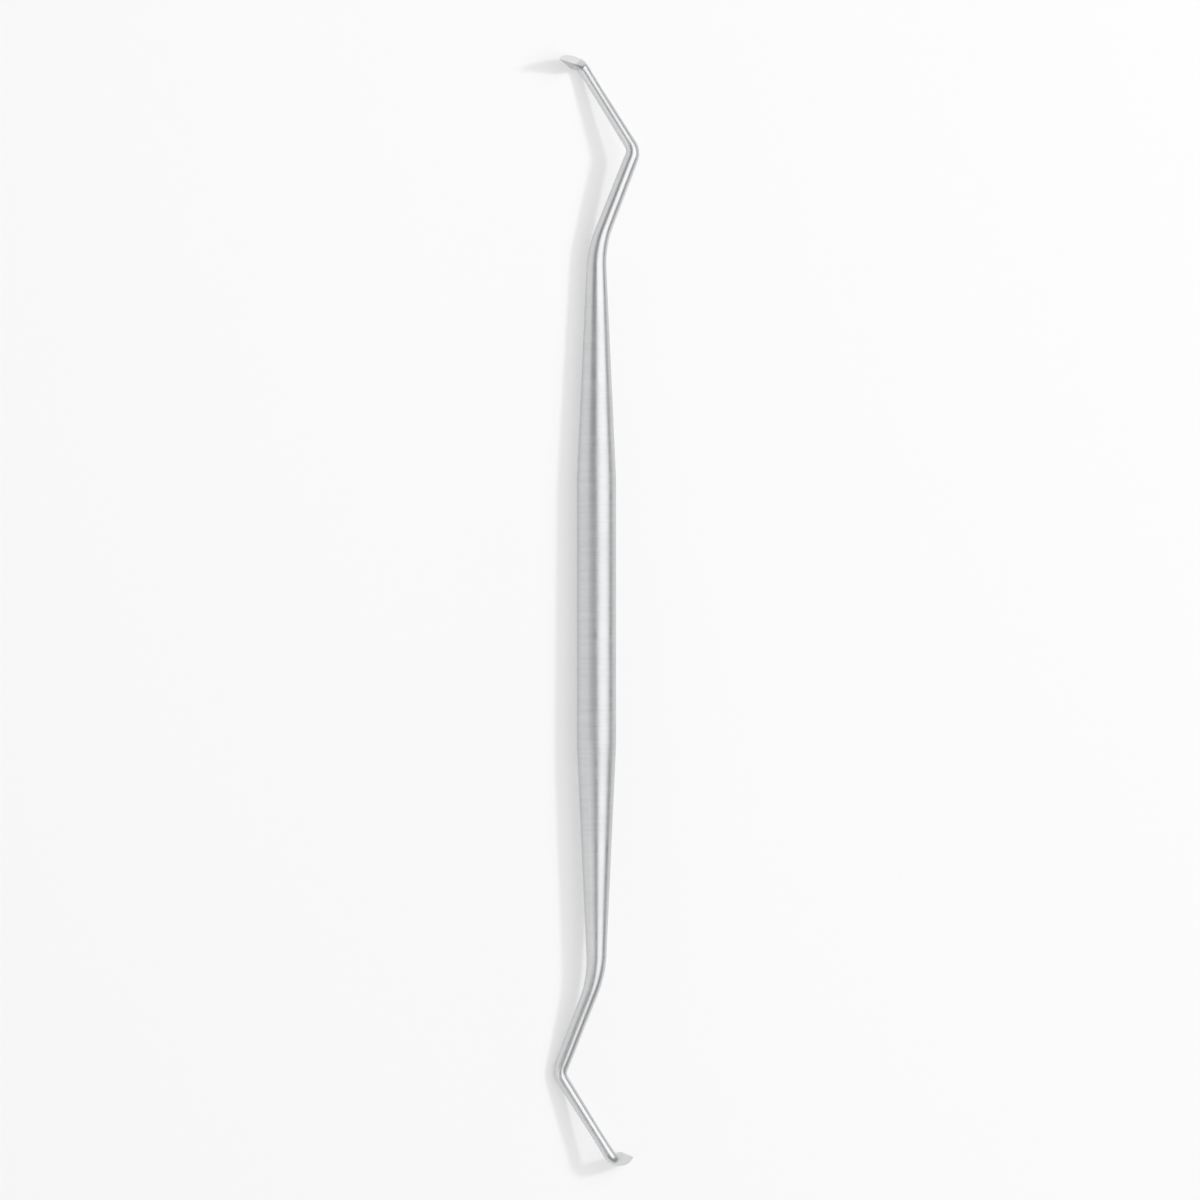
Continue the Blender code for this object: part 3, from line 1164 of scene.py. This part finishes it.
    def write_attributes(self, mesh: bpy.types.Mesh, distance: Array, blade: Array,
                         beyond: Array) -> None:
        """Writes what the finishes read from the mesh.

        Formula: turned is the cosine and sine of the column's angle, and the distance along
        the line in millimetres. polish rises evenly from zero where the plain bar ends to one
        at the neck. edge is one on the blade's corners and falls to zero a little way off; it
        places the painted highlight along the ridge and the cutting edges. blade is the place in
        the blade's frame in millimetres.

        Args:
            mesh: the mesh to write to.
            distance: how far along the line each point lies.
            blade: the points in the frame of their own blade.
            beyond: how many rings each ring lies beyond its shoulder.
        """
        angles = np.broadcast_to(self.half.angles, distance.shape)
        turned = np.stack((np.cos(angles), np.sin(angles), distance / MILLIMETRE), axis=-1)
        along = np.abs(distance)
        polish = np.clip((along - self.half.bar_end) / (self.half.neck_start - self.half.bar_end), 0, 1)
        near = self.half.around.near_corners(self.edge_reach)[self.own_columns(len(beyond))]
        edge = near * (beyond > 0)[:, None]
        tip = np.array(self.half.blade.tip) / MILLIMETRE
        self.write(mesh, "turned", "FLOAT_VECTOR", turned.reshape(-1, 3), turned[[0, -1], 0])
        self.write(mesh, "blade", "FLOAT_VECTOR", (blade / MILLIMETRE).reshape(-1, 3),
                   np.stack((tip, tip)))
        self.write(mesh, "polish", "FLOAT", polish.ravel(), np.ones(2))
        self.write(mesh, "edge", "FLOAT", edge.ravel(), np.ones(2))

    def write(self, mesh: bpy.types.Mesh, name: str, kind: str, values: Array, tips: Array) -> None:
        """Writes one attribute.

        Args:
            mesh: the mesh to write to.
            name: the attribute's name.
            kind: its data type.
            values: its values at the rings' points.
            tips: its values at the two tips.
        """
        attribute = mesh.attributes.new(name, kind, "POINT")
        field_name = "vector" if kind == "FLOAT_VECTOR" else "value"
        every = np.concatenate((values, tips)).astype(np.float32)
        attribute.data.foreach_set(field_name, every.ravel())

    def dress(self, piece: bpy.types.Object) -> None:
        """Gives the piece its finishes, in the order of Ground.

        Args:
            piece: the piece to dress.
        """
        grain = GrainGroup().build()
        handling = HandlingGroup().build()
        finishes = {Ground.SATIN: self.satin, Ground.FLANK: self.flank, Ground.FACE: self.face}
        for ground in Ground:
            piece.data.materials.append(finishes[ground].build(grain, handling))

    def place(self, piece: bpy.types.Object) -> None:
        """Puts the piece on its body, in the place of the plain solid.

        Args:
            piece: the piece to place.
        """
        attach(piece, BODY)
        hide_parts(NODE)


@dataclass(frozen=True)
class Softbox:
    """A rectangular lamp, aimed at the instrument.

    A lamp that the steel doesn't mirror lights only the floor and gives it a clear shadow.
    """

    name: str
    position: Triple
    size: tuple[float, float]
    power: float
    mirrored: bool = True

    def build(self) -> None:
        """Adds the lamp."""
        data = bpy.data.lights.new(self.name, "AREA")
        data.shape = "RECTANGLE"
        data.size, data.size_y = self.size
        data.energy = self.power
        lamp = bpy.data.objects.new(self.name, data)
        lamp.location = self.position
        lamp.rotation_euler = Vector(self.position).to_track_quat("Z", "Y").to_euler()
        lamp.visible_glossy = self.mirrored
        bpy.context.scene.collection.objects.link(lamp)


@dataclass(frozen=True)
class Studio:
    """The floor, the white surroundings, the lamps and the camera.

    The picture's scale is the size of one of its pixels on the instrument, and the handle's
    middle is where it lies in the picture, in pixels from the left and from the top.
    """

    floor_radius: float = 0.9
    floor_corners: int = 96
    floor_colour: Triple = (0.88, 0.88, 0.88)
    floor_roughness: float = 0.8
    floor_specular: float = 0.1
    floor_white: float = 0.45
    floor_plain_radius: float = 0.14
    floor_white_radius: float = 0.55
    overhead_colour: Triple = (0.31, 0.31, 0.315)
    white_below: float = 0.10
    grey_above: float = 0.42
    lamps: tuple[Softbox, ...] = (
        Softbox("key_lamp", (0.2, 0.15, 1.0), (1.25, 1.35), 6.6),
        Softbox("shadow_lamp", (0.55, 0.3, 0.95), (0.16, 0.16), 4.0, mirrored=False),
        Softbox("side_lamp", (-1.0, -0.3, 0.55), (0.4, 0.8), 0.9),
    )
    picture_pixels: float = 1200.0
    picture_scale: float = 0.00015283
    handle_middle: tuple[float, float] = (596.5, 612.0)
    lens: float = 200.0
    sensor: float = 36.0

    def build_floor(self) -> None:
        """Adds the pale floor, which looks nearly white but keeps the instrument's shadow.

        Formula: the share of plain white that is seen grows from its value round the
        instrument to one far from it, where the floor runs into the white walls.
        """
        angle = np.linspace(0.0, 2.0 * np.pi, self.floor_corners, endpoint=False)
        rim = self.floor_radius * np.stack((np.cos(angle), np.sin(angle), 0.0 * angle), axis=-1)
        mesh = bpy.data.meshes.new("floor")
        mesh.from_pydata(rim.tolist(), [], [tuple(range(len(rim)))])
        floor = bpy.data.objects.new("floor", mesh)
        bpy.context.scene.collection.objects.link(floor)
        material = bpy.data.materials.new("pale_floor")
        material.use_nodes = True
        nodes = Nodes(material.node_tree)
        shaders = material.node_tree.nodes
        surface = shaders["Principled BSDF"]
        surface.inputs["Base Color"].default_value = self.floor_colour + (1.0,)
        surface.inputs["Roughness"].default_value = self.floor_roughness
        surface.inputs["Specular IOR Level"].default_value = self.floor_specular
        away = nodes.add("ShaderNodeVectorMath", {0: nodes.object_place()}, operation="LENGTH")
        share = nodes.remap(away.outputs["Value"], self.floor_plain_radius,
                            self.floor_white_radius, self.floor_white, 1.0)
        white = nodes.add("ShaderNodeEmission")
        blend = nodes.add("ShaderNodeMixShader", {
            "Fac": nodes.math("MULTIPLY", nodes.seen_ray(), share),
            1: surface.outputs["BSDF"], 2: white.outputs["Emission"],
        })
        nodes.feed(shaders["Material Output"].inputs["Surface"], blend.outputs["Shader"])
        mesh.materials.append(material)

    def build_dome(self) -> None:
        """Surrounds the room with white walls under a grey overhead.

        Formula: the colour goes from white to grey as the height of the direction, which is
        the sine of its angle above the ground, goes from one limit to the other.
        """
        world = bpy.data.worlds.new("studio_dome")
        world.use_nodes = True
        bpy.context.scene.world = world
        nodes = Nodes(world.node_tree)
        background = world.node_tree.nodes["Background"]
        away = nodes.add("ShaderNodeTexCoord").outputs["Generated"]
        height = nodes.add("ShaderNodeSeparateXYZ", {0: away}).outputs["Z"]
        share = nodes.remap(height, self.white_below, self.grey_above)
        white = (1.0, 1.0, 1.0, 1.0)
        colour = nodes.colours(share, white, self.overhead_colour + (1.0,))
        nodes.feed(background.inputs["Color"], colour)

    def build_camera(self, lie: Lie) -> None:
        """Adds the camera: square on the instrument's own front, with the handle upright.

        Formula: the picture's plane is the instrument's XY plane. The camera stands off along
        its Z, so far that the picture is as wide as its pixels times their size.

        Args:
            lie: how the instrument lies.
        """
        data = bpy.data.cameras.new("camera")
        data.lens = self.lens
        data.sensor_width = self.sensor
        camera = bpy.data.objects.new("camera", data)
        bpy.context.scene.collection.objects.link(camera)
        off_left = self.picture_pixels / 2.0 - self.handle_middle[0]
        off_down = self.handle_middle[1] - self.picture_pixels / 2.0
        away = self.picture_pixels * self.picture_scale * self.lens / self.sensor
        stand = np.array((off_left * self.picture_scale, off_down * self.picture_scale, away))
        matrix = Matrix(lie.rotation.tolist()).to_4x4()
        matrix.translation = Vector(lie.lay(stand))
        camera.matrix_world = matrix
        bpy.context.scene.camera = camera

    def build(self, lie: Lie) -> None:
        """Adds everything round the instrument.

        Args:
            lie: how the instrument lies.
        """
        self.build_floor()
        self.build_dome()
        for lamp in self.lamps:
            lamp.build()
        self.build_camera(lie)
        bpy.context.scene.view_settings.view_transform = "Standard"


def plain(box: tuple) -> list[list[float]]:
    """A box's two corners as plain lists of numbers."""
    return [list(corner) for corner in box]


def main() -> None:
    """Loads the frame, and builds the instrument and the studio."""
    logging.basicConfig(level=logging.INFO, format="%(name)s: %(message)s")
    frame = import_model()
    half = Half()
    face_point = half.to_half(half.blade.face_point())
    lie = Lie.from_mounts(frame["record"]["mounts"], face_point)
    scaler = Scaler(half, lie)
    piece = scaler.build()
    scaler.dress(piece)
    scaler.place(piece)
    LOG.info("%s: %d points, %d faces", PIECE, len(piece.data.vertices), len(piece.data.polygons))
    Studio().build(scaler.lie)
    LOG.info("studio: floor, dome, lamps and camera")


if __name__ == "__main__":
    main()
